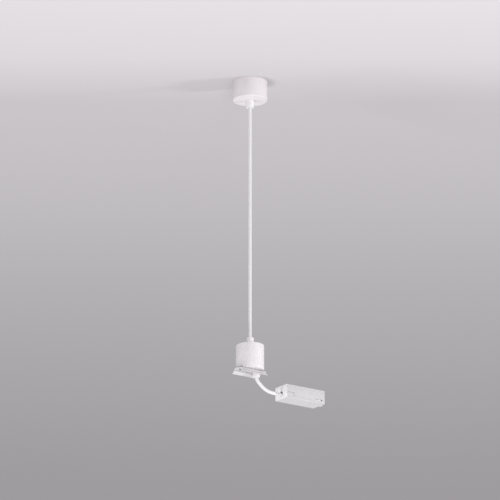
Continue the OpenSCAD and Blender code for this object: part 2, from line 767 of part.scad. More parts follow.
ceiling_plate();
ceiling_strap();
ceiling_rivets();
terminal_housing();
terminal_tubes();
terminal_screws();
terminal_fixing_screws();
canopy_cup();
upper_grip_base();
upper_grip_sleeve();
upper_grip_cap();
can_cover();
lower_grip_base();
lower_grip_sleeve();
lower_grip_cap();
can_strap();
can_rivets();
base_plate();
track_clip();
clip_screws();
lead_grip_base();
lead_grip_nut();
lead_grip_sleeve();
lead_grip_cap();
supply_cable();
ceiling_live_core();
ceiling_neutral_core();
ceiling_earth_core();
block_base();
block_cover();
cable_end_cap();
cover_screws();
cord_clamp_bar();
cord_clamp_screws();
live_contact();
neutral_contact();
earth_contact();
contact_screws();
lock_slide();
block_live_core();
block_neutral_core();
block_earth_core();
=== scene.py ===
# %% [markdown]
# # A pendant power feed for a track light
#
# A ceiling canopy carries a white cable that runs down through a small can and ends in a
# connector block. The sizes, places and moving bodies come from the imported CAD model, and this
# script dresses them with finer shapes and real finishes. One unit is a metre, the origin is
# the canopy's centre on the ceiling, and the part hangs towards -Z.

# %% Load the frame
import math

import bmesh
import bpy
from mathutils import Matrix, Vector


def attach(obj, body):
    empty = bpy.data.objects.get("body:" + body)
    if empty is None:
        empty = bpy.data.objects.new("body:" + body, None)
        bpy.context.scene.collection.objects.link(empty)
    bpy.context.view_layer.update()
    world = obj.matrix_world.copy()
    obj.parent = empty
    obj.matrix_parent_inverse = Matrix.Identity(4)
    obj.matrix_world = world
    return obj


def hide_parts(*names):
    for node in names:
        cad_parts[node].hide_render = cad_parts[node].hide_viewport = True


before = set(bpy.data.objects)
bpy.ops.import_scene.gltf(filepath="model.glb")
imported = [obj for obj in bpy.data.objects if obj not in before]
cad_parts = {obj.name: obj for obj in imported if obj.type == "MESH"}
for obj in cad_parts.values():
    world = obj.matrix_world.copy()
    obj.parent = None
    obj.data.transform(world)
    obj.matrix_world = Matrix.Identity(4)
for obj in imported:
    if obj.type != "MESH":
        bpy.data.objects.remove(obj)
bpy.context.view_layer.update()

MM = 0.001

# %% [markdown]
# ## Camera
#
# The photograph looks up at the part from its cable side, from far away, so verticals stay
# parallel. A long lens at a large distance gives that flat perspective. The camera's back
# vector is the direction from the part to the lens.

# %% Camera
VIEW_BACK = Vector((-0.547, -0.781, -0.301)).normalized()
AIM = Vector((0, 0, -0.3077))
FRAME_WIDTH = 0.8645
LENS_MM = 400
SENSOR_MM = 36

lens = bpy.data.cameras.new("camera")
lens.lens = LENS_MM
lens.sensor_width = SENSOR_MM
lens.clip_end = 60
camera = bpy.data.objects.new("camera", lens)
bpy.context.scene.collection.objects.link(camera)
camera.location = AIM + VIEW_BACK * (FRAME_WIDTH * LENS_MM / SENSOR_MM)
camera.rotation_euler = VIEW_BACK.to_track_quat("Z", "Y").to_euler()
bpy.context.scene.camera = camera
print("camera stands", round((camera.location - AIM).length, 2), "m away")

# %% [markdown]
# ## Supply cable
#
# The cable is one fixed length: it starts at the terminals under the ceiling, hangs straight
# between the two cord grips, bends aside inside the can, leaves through the clip and curves
# into the connector block. A curve with a round bevel keeps its centreline, so its length can
# be measured. The points repeat the route of the CAD model, in millimetres.

# %% Cable route
CABLE_D = 5.8
hang_route = [(0, 0, z) for z in (-24, -60, -150, -250, -350, -440, -470, -486)]
lead_route = [(x, 0, z) for x, z in (
    (0.8, -492.2), (3.2, -498), (6.4, -502.3), (9.6, -506.6), (12, -512.4), (12.8, -518.6),
    (12.8, -531), (13.1, -534.6), (14.1, -537.8), (15.8, -540.4), (18.4, -543.3),
    (21.8, -546.2), (25.6, -549.3), (30, -552.1), (35.6, -554.7), (42, -556.3), (49, -557),
    (57, -557.2), (66, -557.2), (81, -557.2))]


def hanging_curve(name, route, diameter):
    """A round curve of one open spline through the points, given in millimetres."""
    curve = bpy.data.curves.new(name, "CURVE")
    curve.dimensions = "3D"
    curve.bevel_depth = diameter / 2 * MM
    curve.bevel_resolution = 8
    curve.resolution_u = 8
    curve.use_fill_caps = True
    spline = curve.splines.new("BEZIER")
    spline.bezier_points.add(len(route) - 1)
    for point, place in zip(spline.bezier_points, route):
        point.co = Vector(place) * MM
        point.handle_left_type = point.handle_right_type = "AUTO"
    obj = bpy.data.objects.new(name, curve)
    bpy.context.scene.collection.objects.link(obj)
    return obj


cable = hanging_curve("cable_sheath", hang_route + lead_route, CABLE_D)
print("cable points:", len(cable.data.splines[0].bezier_points))

# %% [markdown]
# ## Shared effects
#
# Several finishes need the same small effects: a tone that wanders a little, the grain of a
# moulded or coated skin, faint rubs from handling, and the fine lines of drawn or brushed
# metal. Each is a node group that is built once. Its inputs stay open, so that each material
# can set its own scale and strength.

# %% Node helpers
VEC, FLT, COL = "NodeSocketVector", "NodeSocketFloat", "NodeSocketColor"


def new_group(name, inputs, outputs):
    """A shader node group; each input is (name, type, value) and each output (name, type)."""
    group = bpy.data.node_groups.new(name, "ShaderNodeTree")
    for label, kind, value in inputs:
        socket = group.interface.new_socket(label, in_out="INPUT", socket_type=kind)
        if value is not None:
            socket.default_value = value
    for label, kind in outputs:
        group.interface.new_socket(label, in_out="OUTPUT", socket_type=kind)
    return group, group.nodes.new("NodeGroupInput"), group.nodes.new("NodeGroupOutput")


def add_node(tree, kind, links=None, **settings):
    """Adds a node, sets its properties, and connects or fills the inputs that links names."""
    node = tree.nodes.new(kind)
    for key, value in settings.items():
        setattr(node, key, value)
    for key, value in (links or {}).items():
        if isinstance(value, bpy.types.NodeSocket):
            tree.links.new(value, node.inputs[key])
        else:
            node.inputs[key].default_value = value
    return node


def swing_of(tree, noise):
    """Stretches the middle of a noise, where most of its values lie, to run from -1 to 1."""
    return add_node(tree, "ShaderNodeMapRange", {
        "Value": noise, "From Min": 0.3, "From Max": 0.7, "To Min": -1.0,
        "To Max": 1.0}).outputs["Result"]


print("socket types:", VEC, FLT, COL)

# %% Wandering tone
tone, tone_in, tone_out = new_group(
    "wandering_tone",
    [("Vector", VEC, None), ("Colour", COL, (0.8, 0.8, 0.8, 1)), ("Scale", FLT, 60.0),
     ("Amount", FLT, 0.05)],
    [("Colour", COL)])
broad = add_node(tone, "ShaderNodeTexNoise", {
    "Vector": tone_in.outputs["Vector"], "Scale": tone_in.outputs["Scale"],
    "Detail": 3.0, "Roughness": 0.55})
depth = add_node(tone, "ShaderNodeMath", {
    0: swing_of(tone, broad.outputs["Fac"]), 1: tone_in.outputs["Amount"]},
    operation="MULTIPLY")
gain = add_node(tone, "ShaderNodeMath", {0: depth.outputs[0], 1: 1.0}, operation="ADD")
tinted = add_node(tone, "ShaderNodeVectorMath", {
    0: tone_in.outputs["Colour"], "Scale": gain.outputs[0]}, operation="SCALE")
tone.links.new(tinted.outputs["Vector"], tone_out.inputs["Colour"])
print("group:", tone.name)

# %% Fine skin
skin, skin_in, skin_out = new_group(
    "fine_skin",
    [("Vector", VEC, None), ("Scale", FLT, 1500.0), ("Coarse", FLT, 0.25),
     ("Roughness", FLT, 0.4), ("Spread", FLT, 0.06)],
    [("Height", FLT), ("Roughness", FLT)])
pebble = add_node(skin, "ShaderNodeTexVoronoi", {
    "Vector": skin_in.outputs["Vector"], "Scale": skin_in.outputs["Scale"],
    "Smoothness": 0.8}, feature="SMOOTH_F1")
wave_scale = add_node(skin, "ShaderNodeMath", {
    0: skin_in.outputs["Scale"], 1: skin_in.outputs["Coarse"]}, operation="MULTIPLY")
wave = add_node(skin, "ShaderNodeTexNoise", {
    "Vector": skin_in.outputs["Vector"], "Scale": wave_scale.outputs[0], "Detail": 2.0})
height = add_node(skin, "ShaderNodeMath", {
    0: pebble.outputs["Distance"], 1: wave.outputs["Fac"]}, operation="ADD")
spread = add_node(skin, "ShaderNodeMath", {
    0: swing_of(skin, wave.outputs["Fac"]), 1: skin_in.outputs["Spread"],
    2: skin_in.outputs["Roughness"]}, operation="MULTIPLY_ADD")
skin.links.new(height.outputs[0], skin_out.inputs["Height"])
skin.links.new(spread.outputs[0], skin_out.inputs["Roughness"])
print("group:", skin.name)

# %% Handling rub
rub, rub_in, rub_out = new_group(
    "handling_rub",
    [("Vector", VEC, None), ("Scale", FLT, 40.0), ("Stretch", FLT, 6.0), ("Amount", FLT, 0.3)],
    [("Mask", FLT)])
stretch = add_node(rub, "ShaderNodeCombineXYZ", {
    0: rub_in.outputs["Stretch"], 1: rub_in.outputs["Stretch"], 2: 1.0})
pulled = add_node(rub, "ShaderNodeVectorMath", {
    0: rub_in.outputs["Vector"], 1: stretch.outputs[0]}, operation="MULTIPLY")
streaks = add_node(rub, "ShaderNodeTexNoise", {
    "Vector": pulled.outputs["Vector"], "Scale": rub_in.outputs["Scale"], "Detail": 6.0,
    "Roughness": 0.65})
sparse = add_node(rub, "ShaderNodeMapRange", {
    "Value": streaks.outputs["Fac"], "From Min": 0.58, "From Max": 0.74, "To Min": 0.0,
    "To Max": 1.0})
rub_strength = add_node(rub, "ShaderNodeMath", {
    0: sparse.outputs["Result"], 1: rub_in.outputs["Amount"]}, operation="MULTIPLY")
rub.links.new(rub_strength.outputs[0], rub_out.inputs["Mask"])
print("group:", rub.name)

# %% Drawn lines
drawn, drawn_in, drawn_out = new_group(
    "drawn_lines",
    [("Vector", VEC, None), ("Direction", VEC, (1.0, 1.0, 0.05)), ("Scale", FLT, 900.0),
     ("Roughness", FLT, 0.35), ("Spread", FLT, 0.12)],
    [("Height", FLT), ("Roughness", FLT)])
along = add_node(drawn, "ShaderNodeVectorMath", {
    0: drawn_in.outputs["Vector"], 1: drawn_in.outputs["Direction"]}, operation="MULTIPLY")
lines = add_node(drawn, "ShaderNodeTexNoise", {
    "Vector": along.outputs["Vector"], "Scale": drawn_in.outputs["Scale"], "Detail": 4.0,
    "Roughness": 0.7})
line_rough = add_node(drawn, "ShaderNodeMath", {
    0: swing_of(drawn, lines.outputs["Fac"]), 1: drawn_in.outputs["Spread"],
    2: drawn_in.outputs["Roughness"]}, operation="MULTIPLY_ADD")
drawn.links.new(lines.outputs["Fac"], drawn_out.inputs["Height"])
drawn.links.new(line_rough.outputs[0], drawn_out.inputs["Roughness"])
print("node groups:", [g.name for g in bpy.data.node_groups])

# %% [markdown]
# ## Finishes
#
# The canopy, the can and the clip are steel sheet under a satin white powder coat, whose skin
# is slightly pebbled. They wear one paint, but each has its own copy of it: the canopy's copy
# is painted a little greyer than the can's, and the clip's darker still, which is painted
# shade. The cord grips are glossy moulded white, the block is a greyer and duller moulding,
# and the cable's sheath is smooth with faint lines along it. The end cap is one moulding, but
# its end face is painted whiter than its other faces, which is painted light. The base plate
# under the can is painted as the can is. The clip's screws are painted black, which is a
# painted shadow in the clip's channel. Hidden fittings are zinc-plated steel, brass and tinned
# brass. Images could carry these skins, but node patterns stay sharp at any distance and need
# no UV map. The pattern of each finish sits in the piece's own coordinates, so that it moves
# with the piece.

# %% Material helper
COAT_ROUGHNESS, SURFACE_IOR, BUMP_STRENGTH = 0.15, 1.5, 0.6
RUBBED = 0.9


def group_node(tree, group, links):
    """Places a node group in a tree and connects or fills the inputs that links names."""
    return add_node(tree, "ShaderNodeGroup", links, node_tree=group)


def finish(name, colour, roughness, grain, grain_depth, *, spread=0.05, metallic=0.0, coat=0.0,
           tone_amount=0.03, rub_amount=0.25, rub_colour=None, lines=None):
    """A material: grain is the size of its skin in millimetres, grain_depth its bump height.

    With lines, the skin is drawn lines: a small number is the way in which they run.
    """
    material = bpy.data.materials.new(name)
    material.use_nodes = True
    tree = material.node_tree
    tree.nodes.clear()
    place = tree.nodes.new("ShaderNodeTexCoord").outputs["Object"]
    surface = tree.nodes.new("ShaderNodeBsdfPrincipled")
    surface.inputs["Metallic"].default_value = metallic
    surface.inputs["IOR"].default_value = SURFACE_IOR
    surface.inputs["Coat Weight"].default_value = coat
    surface.inputs["Coat Roughness"].default_value = COAT_ROUGHNESS
    out = tree.nodes.new("ShaderNodeOutputMaterial")
    tree.links.new(surface.outputs["BSDF"], out.inputs["Surface"])
    toned = group_node(tree, tone, {
        "Vector": place, "Colour": (*colour, 1), "Amount": tone_amount})
    worn = group_node(tree, rub, {"Vector": place, "Amount": rub_amount})
    body = add_node(tree, "ShaderNodeMix", {
        "Factor": worn.outputs["Mask"], 6: toned.outputs["Colour"],
        7: (*(rub_colour or [c * RUBBED for c in colour]), 1)}, data_type="RGBA")
    texture = {"Vector": place, "Scale": 1 / (grain * MM), "Roughness": roughness,
               "Spread": spread}
    if lines:
        face = group_node(tree, drawn, {**texture, "Direction": lines})
    else:
        face = group_node(tree, skin, texture)
    relief = add_node(tree, "ShaderNodeBump", {
        "Height": face.outputs["Height"], "Distance": grain_depth * MM,
        "Strength": BUMP_STRENGTH})
    tree.links.new(body.outputs[2], surface.inputs["Base Color"])
    tree.links.new(face.outputs["Roughness"], surface.inputs["Roughness"])
    tree.links.new(relief.outputs["Normal"], surface.inputs["Normal"])
    return material


print("every finish has a bump strength of", BUMP_STRENGTH)

# %% Finishes
# the canopy's copy of the powder coat is painted greyer than the can's: painted shade
canopy_white_painted_shade = finish("canopy_white_painted_shade", (0.755, 0.722, 0.744), 0.42, 0.7, 0.014,
                      tone_amount=0.015, rub_amount=0.12)
can_white = finish("can_white", (0.805, 0.785, 0.802), 0.42, 0.7, 0.014,
                   tone_amount=0.015, rub_amount=0.12)
# the clip's copy of the powder coat is painted darker still: painted shade
clip_white_painted_shade = finish("clip_white_painted_shade", (0.63, 0.615, 0.628), 0.42, 0.7, 0.02)
grip_white = finish("grip_white", (0.84, 0.83, 0.835), 0.3, 0.35, 0.006, coat=0.15)
block_grey_white = finish("block_grey_white", (0.6, 0.59, 0.6), 0.5, 0.3, 0.012,
                          tone_amount=0.02)
# the terminal housing's own white, also used as painted light on the end cap's end face
white_housing_and_painted_light = finish("white_housing_and_painted_light", (0.95, 0.94, 0.945), 0.4, 0.3, 0.01, tone_amount=0.02)
slide_white = finish("slide_white", (0.66, 0.655, 0.66), 0.4, 0.3, 0.01, tone_amount=0.02)
sheath_white = finish("sheath_white", (0.775, 0.77, 0.78), 0.4, 0.5, 0.003,
                      tone_amount=0.015, rub_amount=0.1, spread=0.02, lines=(1.0, 1.0, 0.04))
sleeve_grey = finish("sleeve_grey", (0.62, 0.62, 0.62), 0.75, 0.2, 0.02)
zinc_steel = finish("zinc_steel", (0.6, 0.6, 0.61), 0.46, 0.25, 0.004, metallic=1.0,
                    lines=(0.06, 1.0, 1.0), spread=0.1, rub_colour=(0.45, 0.45, 0.46))
bright_screw = finish("bright_screw", (0.66, 0.66, 0.67), 0.25, 0.2, 0.003, metallic=1.0,
                      spread=0.08, rub_colour=(0.42, 0.42, 0.43))
# black for the clip's screws: a painted shadow in the clip's channel
painted_shadow_screw = finish("painted_shadow_screw", (0.07, 0.07, 0.075), 0.38, 0.2, 0.003, spread=0.08)
brass_bar = finish("brass_bar", (0.72, 0.58, 0.36), 0.32, 0.25, 0.004, metallic=1.0,
                   lines=(1.0, 0.06, 1.0), spread=0.1, rub_colour=(0.5, 0.36, 0.18))
tinned_brass = finish("tinned_brass", (0.78, 0.775, 0.77), 0.55, 0.25, 0.004, metallic=0.5,
                      lines=(1.0, 0.06, 1.0), spread=0.1, rub_colour=(0.62, 0.56, 0.44))
core_brown = finish("core_brown", (0.18, 0.075, 0.035), 0.4, 0.3, 0.008)
core_blue = finish("core_blue", (0.045, 0.13, 0.46), 0.4, 0.3, 0.008)
cable.data.materials.append(sheath_white)
print("finishes:", len(bpy.data.materials))

# %% [markdown]
# The earth core carries two colours in bands that run along it. Its mesh has a UV map whose
# first number goes round the core, so a sine of that number makes the two bands.

# %% Striped earth core
CORE_YELLOW = (0.76, 0.6, 0.03)
BAND_BLUR = 0.08
core_striped = finish("core_striped", (0.1, 0.36, 0.06), 0.4, 0.3, 0.008)
stripe_tree = core_striped.node_tree
around = add_node(stripe_tree, "ShaderNodeSeparateXYZ", {
    0: stripe_tree.nodes.new("ShaderNodeUVMap").outputs["UV"]})
turn = add_node(stripe_tree, "ShaderNodeMath", {
    0: around.outputs["X"], 1: 2 * math.pi}, operation="MULTIPLY")
wave_round = add_node(stripe_tree, "ShaderNodeMath", {0: turn.outputs[0]}, operation="SINE")
band = add_node(stripe_tree, "ShaderNodeMapRange", {
    "Value": wave_round.outputs[0], "From Min": -BAND_BLUR, "From Max": BAND_BLUR,
    "To Min": 0.0, "To Max": 1.0})
core_surface = next(n for n in stripe_tree.nodes if n.type == "BSDF_PRINCIPLED")
green_link = core_surface.inputs["Base Color"].links[0].from_socket
two_tone = add_node(stripe_tree, "ShaderNodeMix", {
    "Factor": band.outputs["Result"], 6: green_link, 7: (*CORE_YELLOW, 1)},
    data_type="RGBA")
stripe_tree.links.new(two_tone.outputs[2], core_surface.inputs["Base Color"])
print("striped core:", core_striped.name)

# %% [markdown]
# ## Helpers for pieces
#
# Every piece becomes a plain mesh whose place is in its vertices, so its object stays at the
# origin. It then rides on the CAD body that it moves with, and the CAD nodes that it stands for
# are hidden.

# %% Mesh helpers
SMOOTH_BELOW_DEG = 32


def paint(mesh, material):
    """Leaves the mesh one material slot, with this material."""
    mesh.materials.clear()
    mesh.materials.append(material)


def link_mesh(name, mesh, material):
    """Puts a mesh into the scene as an object with one material."""
    obj = bpy.data.objects.new(name, mesh)
    bpy.context.scene.collection.objects.link(obj)
    paint(mesh, material)
    return obj


def mesh_from(bm, name):
    """Ends a bmesh and returns its shape as a mesh."""
    mesh = bpy.data.meshes.new(name)
    bm.to_mesh(mesh)
    bm.free()
    return mesh


def shade(mesh, sharp_degrees=SMOOTH_BELOW_DEG):
    """Smooth faces, with an edge left sharp where two of them meet at a larger angle."""
    mesh.polygons.foreach_set("use_smooth", [True] * len(mesh.polygons))
    mesh.set_sharp_from_angle(angle=math.radians(sharp_degrees))
    mesh.update()


print("pieces turn smooth below", SMOOTH_BELOW_DEG, "degrees")

# %% Ride, bake and close
MERGE_WITHIN = 2e-6


def settle(obj, body, slot, *nodes):
    """The piece rides on its body and stands for its CAD nodes; slot is not used."""
    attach(obj, body)
    if nodes:
        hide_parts(*nodes)


def baked(obj):
    """Turns an object and its modifiers into a plain mesh with no modifiers."""
    shape = obj.evaluated_get(bpy.context.evaluated_depsgraph_get())
    mesh = bpy.data.meshes.new_from_object(shape)
    obj.modifiers.clear()
    obj.data = mesh
    shade(mesh)
    return obj


def close_seams(bm):
    """Joins doubled corners and turns all faces outwards."""
    bmesh.ops.remove_doubles(bm, verts=bm.verts, dist=MERGE_WITHIN)
    bmesh.ops.recalc_face_normals(bm, faces=bm.faces)


print("corners nearer than", MERGE_WITHIN, "m are joined")

# %% [markdown]
# ## Turned pieces
#
# The canopy, the can and the cord grips are round. A closed profile that is spun about an
# axis gives them, with small radii at the corners, which catch the light as real edges do.
# Every profile has a bore, so there is no pole where faces would pinch.

# %% Rounded outline
def rounded(corners, steps=5):
    """A closed outline; each corner is (x, y) or (x, y, radius), and a radius makes an arc."""
    outline = []
    count = len(corners)
    for i, corner in enumerate(corners):
        here = Vector(corner[:2])
        radius = corner[2] if len(corner) > 2 else 0
        if not radius:
            outline.append(here)
            continue
        before = (Vector(corners[i - 1][:2]) - here).normalized()
        after = (Vector(corners[(i + 1) % count][:2]) - here).normalized()
        half_angle = before.angle(after) / 2
        reach = radius / math.tan(half_angle)
        centre = here + (before + after).normalized() * (radius / math.sin(half_angle))
        start = here + before * reach - centre
        end = here + after * reach - centre
        sweep = start.angle_signed(end)
        for step in range(steps + 1):
            angle = -sweep * step / steps
            outline.append(centre + Matrix.Rotation(angle, 2) @ start)
    return outline


square = [(0, 0, 1), (4, 0, 1), (4, 4, 1), (0, 4, 1)]
print("a square with round corners has", len(rounded(square)), "points")

# %% Spin
CUP_SIDES, GRIP_SIDES = 192, 96


def turned(name, corners, material, place, down, sides):
    """Spins a profile of (radius, height) in millimetres about the vertical through place."""
    outline = rounded(corners)
    bm = bmesh.new()
    rings = []
    for side in range(sides):
        angle = 2 * math.pi * side / sides
        ring = [bm.verts.new((p.x * math.cos(angle) * MM, p.x * math.sin(angle) * MM,
                              (-p.y if down else p.y) * MM)) for p in outline]
        rings.append(ring)
    for side in range(sides):
        one, two = rings[side], rings[(side + 1) % sides]
        for i in range(len(outline)):
            j = (i + 1) % len(outline)
            bm.faces.new((one[i], two[i], two[j], one[j]))
    bmesh.ops.translate(bm, verts=bm.verts, vec=Vector(place) * MM)
    close_seams(bm)
    mesh = mesh_from(bm, name)
    shade(mesh)
    return link_mesh(name, mesh, material)


print("cups have", CUP_SIDES, "sides and cord grips", GRIP_SIDES)

# %% Canopy and can shells
CANOPY_R, CANOPY_H, CANOPY_EDGE = 30, 35, 1.3
CAN_R, CAN_H, CAN_EDGE, CAN_TOP = 24.3, 44.6, 1.1, -480
CUP_WALL, STEM_HOLE_R = 1.5, 5.05


def cup_profile(radius, depth, edge):
    """Half of a drawn cup, standing on its closed end, with a hole in its middle."""
    return [(STEM_HOLE_R, 0, 0.1), (radius, 0, edge), (radius, depth, 0.25),
            (radius - CUP_WALL, depth, 0.25), (radius - CUP_WALL, CUP_WALL, 0.6),
            (STEM_HOLE_R, CUP_WALL, 0.1)]


canopy = turned("canopy_shell", cup_profile(CANOPY_R, CANOPY_H, CANOPY_EDGE), canopy_white_painted_shade,
                (0, 0, -CANOPY_H), False, CUP_SIDES)
can = turned("can_shell", cup_profile(CAN_R, CAN_H, CAN_EDGE), can_white,
             (0, 0, CAN_TOP), True, CUP_SIDES)
settle(canopy, "canopy", "white_metal", "canopy_cup")
print("canopy faces:", len(canopy.data.polygons), "can faces:", len(can.data.polygons))

# %% [markdown]
# The can's rim has two notches, where the track clip passes under it. They aren't round, so
# the spin can't give them. A boolean cut with a plain box takes both out of the shell.

# %% Notches in the can's rim
CLIP_W, CLIP_L, CLIP_T, CLIP_TOP = 18.8, 54.3, 1.2, -523.6
CLIP_UNDER = CLIP_TOP - CLIP_T
NOTCH_W, NOTCH_TOP = CLIP_W + 0.6, CLIP_TOP + 2
PAST_CAN, BELOW_CAN = 40, -540


def block_mesh(name, low, high):
    """A plain box between two corners in millimetres, used as a cutter."""
    bm = bmesh.new()
    bmesh.ops.create_cube(bm, size=1)
    for vert in bm.verts:
        vert.co = Vector([(a + b) / 2 + c * (b - a) for a, b, c in zip(low, high, vert.co)]) * MM
    return mesh_from(bm, name)


def cut(obj, *cutters):
    """Cuts meshes out of a piece, then removes the cutters."""
    for mesh in cutters:
        tool = bpy.data.objects.new("cutter", mesh)
        bpy.context.scene.collection.objects.link(tool)
        step = obj.modifiers.new("cut", "BOOLEAN")
        step.operation = "DIFFERENCE"
        step.solver = "EXACT"
        step.object = tool
        baked(obj)
        bpy.data.objects.remove(tool)


cut(can, block_mesh("notch", (-PAST_CAN, -NOTCH_W / 2, BELOW_CAN),
                    (PAST_CAN, NOTCH_W / 2, NOTCH_TOP)))
paint(can.data, can_white)
settle(can, "can", "white_metal", "can_cover")
print("can faces after the notches:", len(can.data.polygons))

# %% [markdown]
# ## Cord grips
#
# Each grip is three pieces: a base with a threaded stem, a soft sleeve that squeezes the
# cable, and a cap that screws down on the sleeve. The ceiling grip and the lead grip point
# down, the one on the can points up. The lead grip's collar is lower. All nine pieces are
# round, so three profiles and the same spin make them.

# %% Grip profiles
GRIP_R, STEM_R, STEM_L, CAP_H, NOSE_H = 6.5, 5, 5.5, 8.5, 3.4
CABLE_BORE, NOSE_BORE, CAP_BORE = CABLE_D / 2 + 0.05, 4.1, 5.05
SLEEVE_R, SLEEVE_TIP_R = 4.05, 3.6
MOUTH_R, MOUTH_RIM_R = 3.3, 4.3
THREAD_ROOT = 4.6


def grip_base_profile(collar):
    """The stem with its thread's root, the collar and the nose that holds the sleeve."""
    return [(CABLE_BORE, -STEM_L, 0.2), (THREAD_ROOT - 0.2, -STEM_L), (THREAD_ROOT, -STEM_L + 0.4),
            (THREAD_ROOT, -0.5), (STEM_R, -0.3), (STEM_R, 0), (GRIP_R, 0, 0.2),
            (GRIP_R, collar, 0.35), (STEM_R, collar), (STEM_R, collar + NOSE_H, 0.4),
            (NOSE_BORE, collar + NOSE_H, 0.1), (NOSE_BORE, collar - 1), (CABLE_BORE, collar - 1)]


def grip_sleeve_profile(collar):
    """The soft sleeve, a tube whose tip tapers into the cap."""
    return [(CABLE_BORE, collar - 1, 0.1), (SLEEVE_R, collar - 1), (SLEEVE_R, collar + 2.5, 0.2),
            (SLEEVE_TIP_R, collar + 4, 0.15), (CABLE_BORE, collar + 4, 0.1)]


def grip_cap_profile(collar):
    """The cap, wide over the nose and narrow round the sleeve, with a flared mouth."""
    return [(CAP_BORE, collar), (GRIP_R, collar, 0.35), (GRIP_R, collar + CAP_H, 0.5),
            (MOUTH_RIM_R, collar + CAP_H, 0.25), (MOUTH_R, collar + 6, 0.15),
            (MOUTH_R, collar + 5), (CAP_BORE, collar + 3.6)]


print("a cap's profile has", len(grip_cap_profile(5)), "corners")

# %% Three cord grips
LEAD_X = 12.8
# each grip: where its collar seats, whether it points down, the collar's height, its body
GRIPS = {
    "upper": ((0, 0, -CANOPY_H), True, 5, "canopy"),
    "lower": ((0, 0, CAN_TOP), False, 5, "can"),
    "lead": ((LEAD_X, 0, CLIP_UNDER), True, 2, "hanging_frame"),
}
GRIP_PARTS = (("base", grip_base_profile, grip_white, "white_plastic"),
              ("sleeve", grip_sleeve_profile, sleeve_grey, "soft_grip"),
              ("cap", grip_cap_profile, grip_white, "white_plastic"))
for label, (place, down, collar, body) in GRIPS.items():
    for part, profile, material, slot in GRIP_PARTS:
        piece = turned(f"{label}_grip_{part}_turned", profile(collar), material, place, down,
                       GRIP_SIDES)
        settle(piece, body, slot, f"{label}_grip_{part}")
print("cord grips:", list(GRIPS))

# %% [markdown]
# ## Threads
#
# The three stems carry a fine thread. A bump would look flat at the stem's outline, so the
# ridge is real. Its shape follows a rule, so a geometry node tree makes it: a spiral, a small
# six-sided ridge swept along it, and a material. The radius, the ridge's size, the turns and
# the height are the tree's inputs.

# %% Helpers for geometry trees
MAT, DIST = "NodeSocketMaterial", "NodeSocketFloat"


def geometry_group(name, inputs):
    """A geometry node group with one geometry output; each input is (name, type, value)."""
    group = bpy.data.node_groups.new(name, "GeometryNodeTree")
    group.interface.new_socket("Geometry", in_out="OUTPUT", socket_type="NodeSocketGeometry")
    for label, kind, value in inputs:
        socket = group.interface.new_socket(label, in_out="INPUT", socket_type=kind)
        if value is not None:
            socket.default_value = value
    return group, group.nodes.new("NodeGroupInput"), group.nodes.new("NodeGroupOutput")


def made_by(name, group, values, material, start=None):
    """Runs a geometry node tree with the named values and returns a plain mesh piece.

    start is the mesh that the tree gets, where it needs one.
    """
    obj = link_mesh(name, start or bpy.data.meshes.new(name), material)
    step = obj.modifiers.new("make", "NODES")
    step.node_group = group
    for item in group.interface.items_tree:
        if item.in_out == "INPUT" and item.name in values:
            step[item.identifier] = values[item.name]
    return baked(obj)


print("socket types:", DIST, MAT)

# %% Thread tree
thread, thread_in, thread_out = geometry_group("thread", [
    ("Radius", DIST, 0.0048), ("Ridge", DIST, 0.0002), ("Turns", DIST, 5.0),
    ("Height", DIST, 0.005), ("Material", MAT, None)])
helix = add_node(thread, "GeometryNodeCurveSpiral", {
    "Resolution": 48, "Rotations": thread_in.outputs["Turns"],
    "Start Radius": thread_in.outputs["Radius"], "End Radius": thread_in.outputs["Radius"],
    "Height": thread_in.outputs["Height"]})
ridge = add_node(thread, "GeometryNodeCurvePrimitiveCircle", {
    "Resolution": 6, "Radius": thread_in.outputs["Ridge"]})
swept = add_node(thread, "GeometryNodeCurveToMesh", {
    "Curve": helix.outputs[0], "Profile Curve": ridge.outputs[0], "Fill Caps": True})
real = add_node(thread, "GeometryNodeRealizeInstances", {0: swept.outputs[0]})
dressed = add_node(thread, "GeometryNodeSetMaterial", {
    "Geometry": real.outputs[0], "Material": thread_in.outputs["Material"]})
thread.links.new(dressed.outputs[0], thread_out.inputs[0])
print("thread inputs:", len(thread_in.outputs) - 1)

# %% Threads on the stems
THREAD_RIDGE, THREAD_FROM, THREAD_TO, THREAD_TURNS = 0.24, 0.7, 5.1, 5.0

for label, (place, down, _, body) in GRIPS.items():
    piece = made_by(f"{label}_grip_thread", thread, {
        "Radius": (STEM_R - THREAD_RIDGE) * MM, "Ridge": THREAD_RIDGE * MM,
        "Turns": THREAD_TURNS,
        "Height": (THREAD_TO - THREAD_FROM) * MM, "Material": grip_white}, grip_white)
    low = place[2] + (THREAD_FROM if down else -THREAD_TO)
    piece.data.transform(Matrix.Translation(Vector((place[0], place[1], low)) * MM))
    settle(piece, body, "white_plastic")
print("threads:", THREAD_TURNS, "turns on each stem")

# %% [markdown]
# ## Screws and rivets
#
# The same few fasteners repeat in many places. One geometry node tree builds a fastener from
# a head, a shank and a driver recess, and sets a copy of it on every point of a point list.
# Screws get a cross, grub screws a slot, and rivets no recess. Each could be modelled by
# hand, but then a better head would have to be made many times.

# %% Fastener tree and its helpers
fastener, fast_in, fast_out = geometry_group("fastener", [
    ("Geometry", "NodeSocketGeometry", None), ("Head Radius", DIST, 0.0026),
    ("Head Height", DIST, 0.0015), ("Crown", DIST, 0.7), ("Shank Radius", DIST, 0.0014),
    ("Shank Length", DIST, 0.01), ("Recess Length", DIST, 0.0026),
    ("Recess Width", DIST, 0.0006), ("Recess Depth", DIST, 0.001), ("Cross", DIST, 1.0),
    ("Axis", "NodeSocketVector", (0.0, 0.0, 1.0)), ("Material", MAT, None)])


def half_of(value):
    """Half of a number, as a node's output."""
    return add_node(fastener, "ShaderNodeMath", {0: value, 1: 0.5},
                    operation="MULTIPLY").outputs[0]


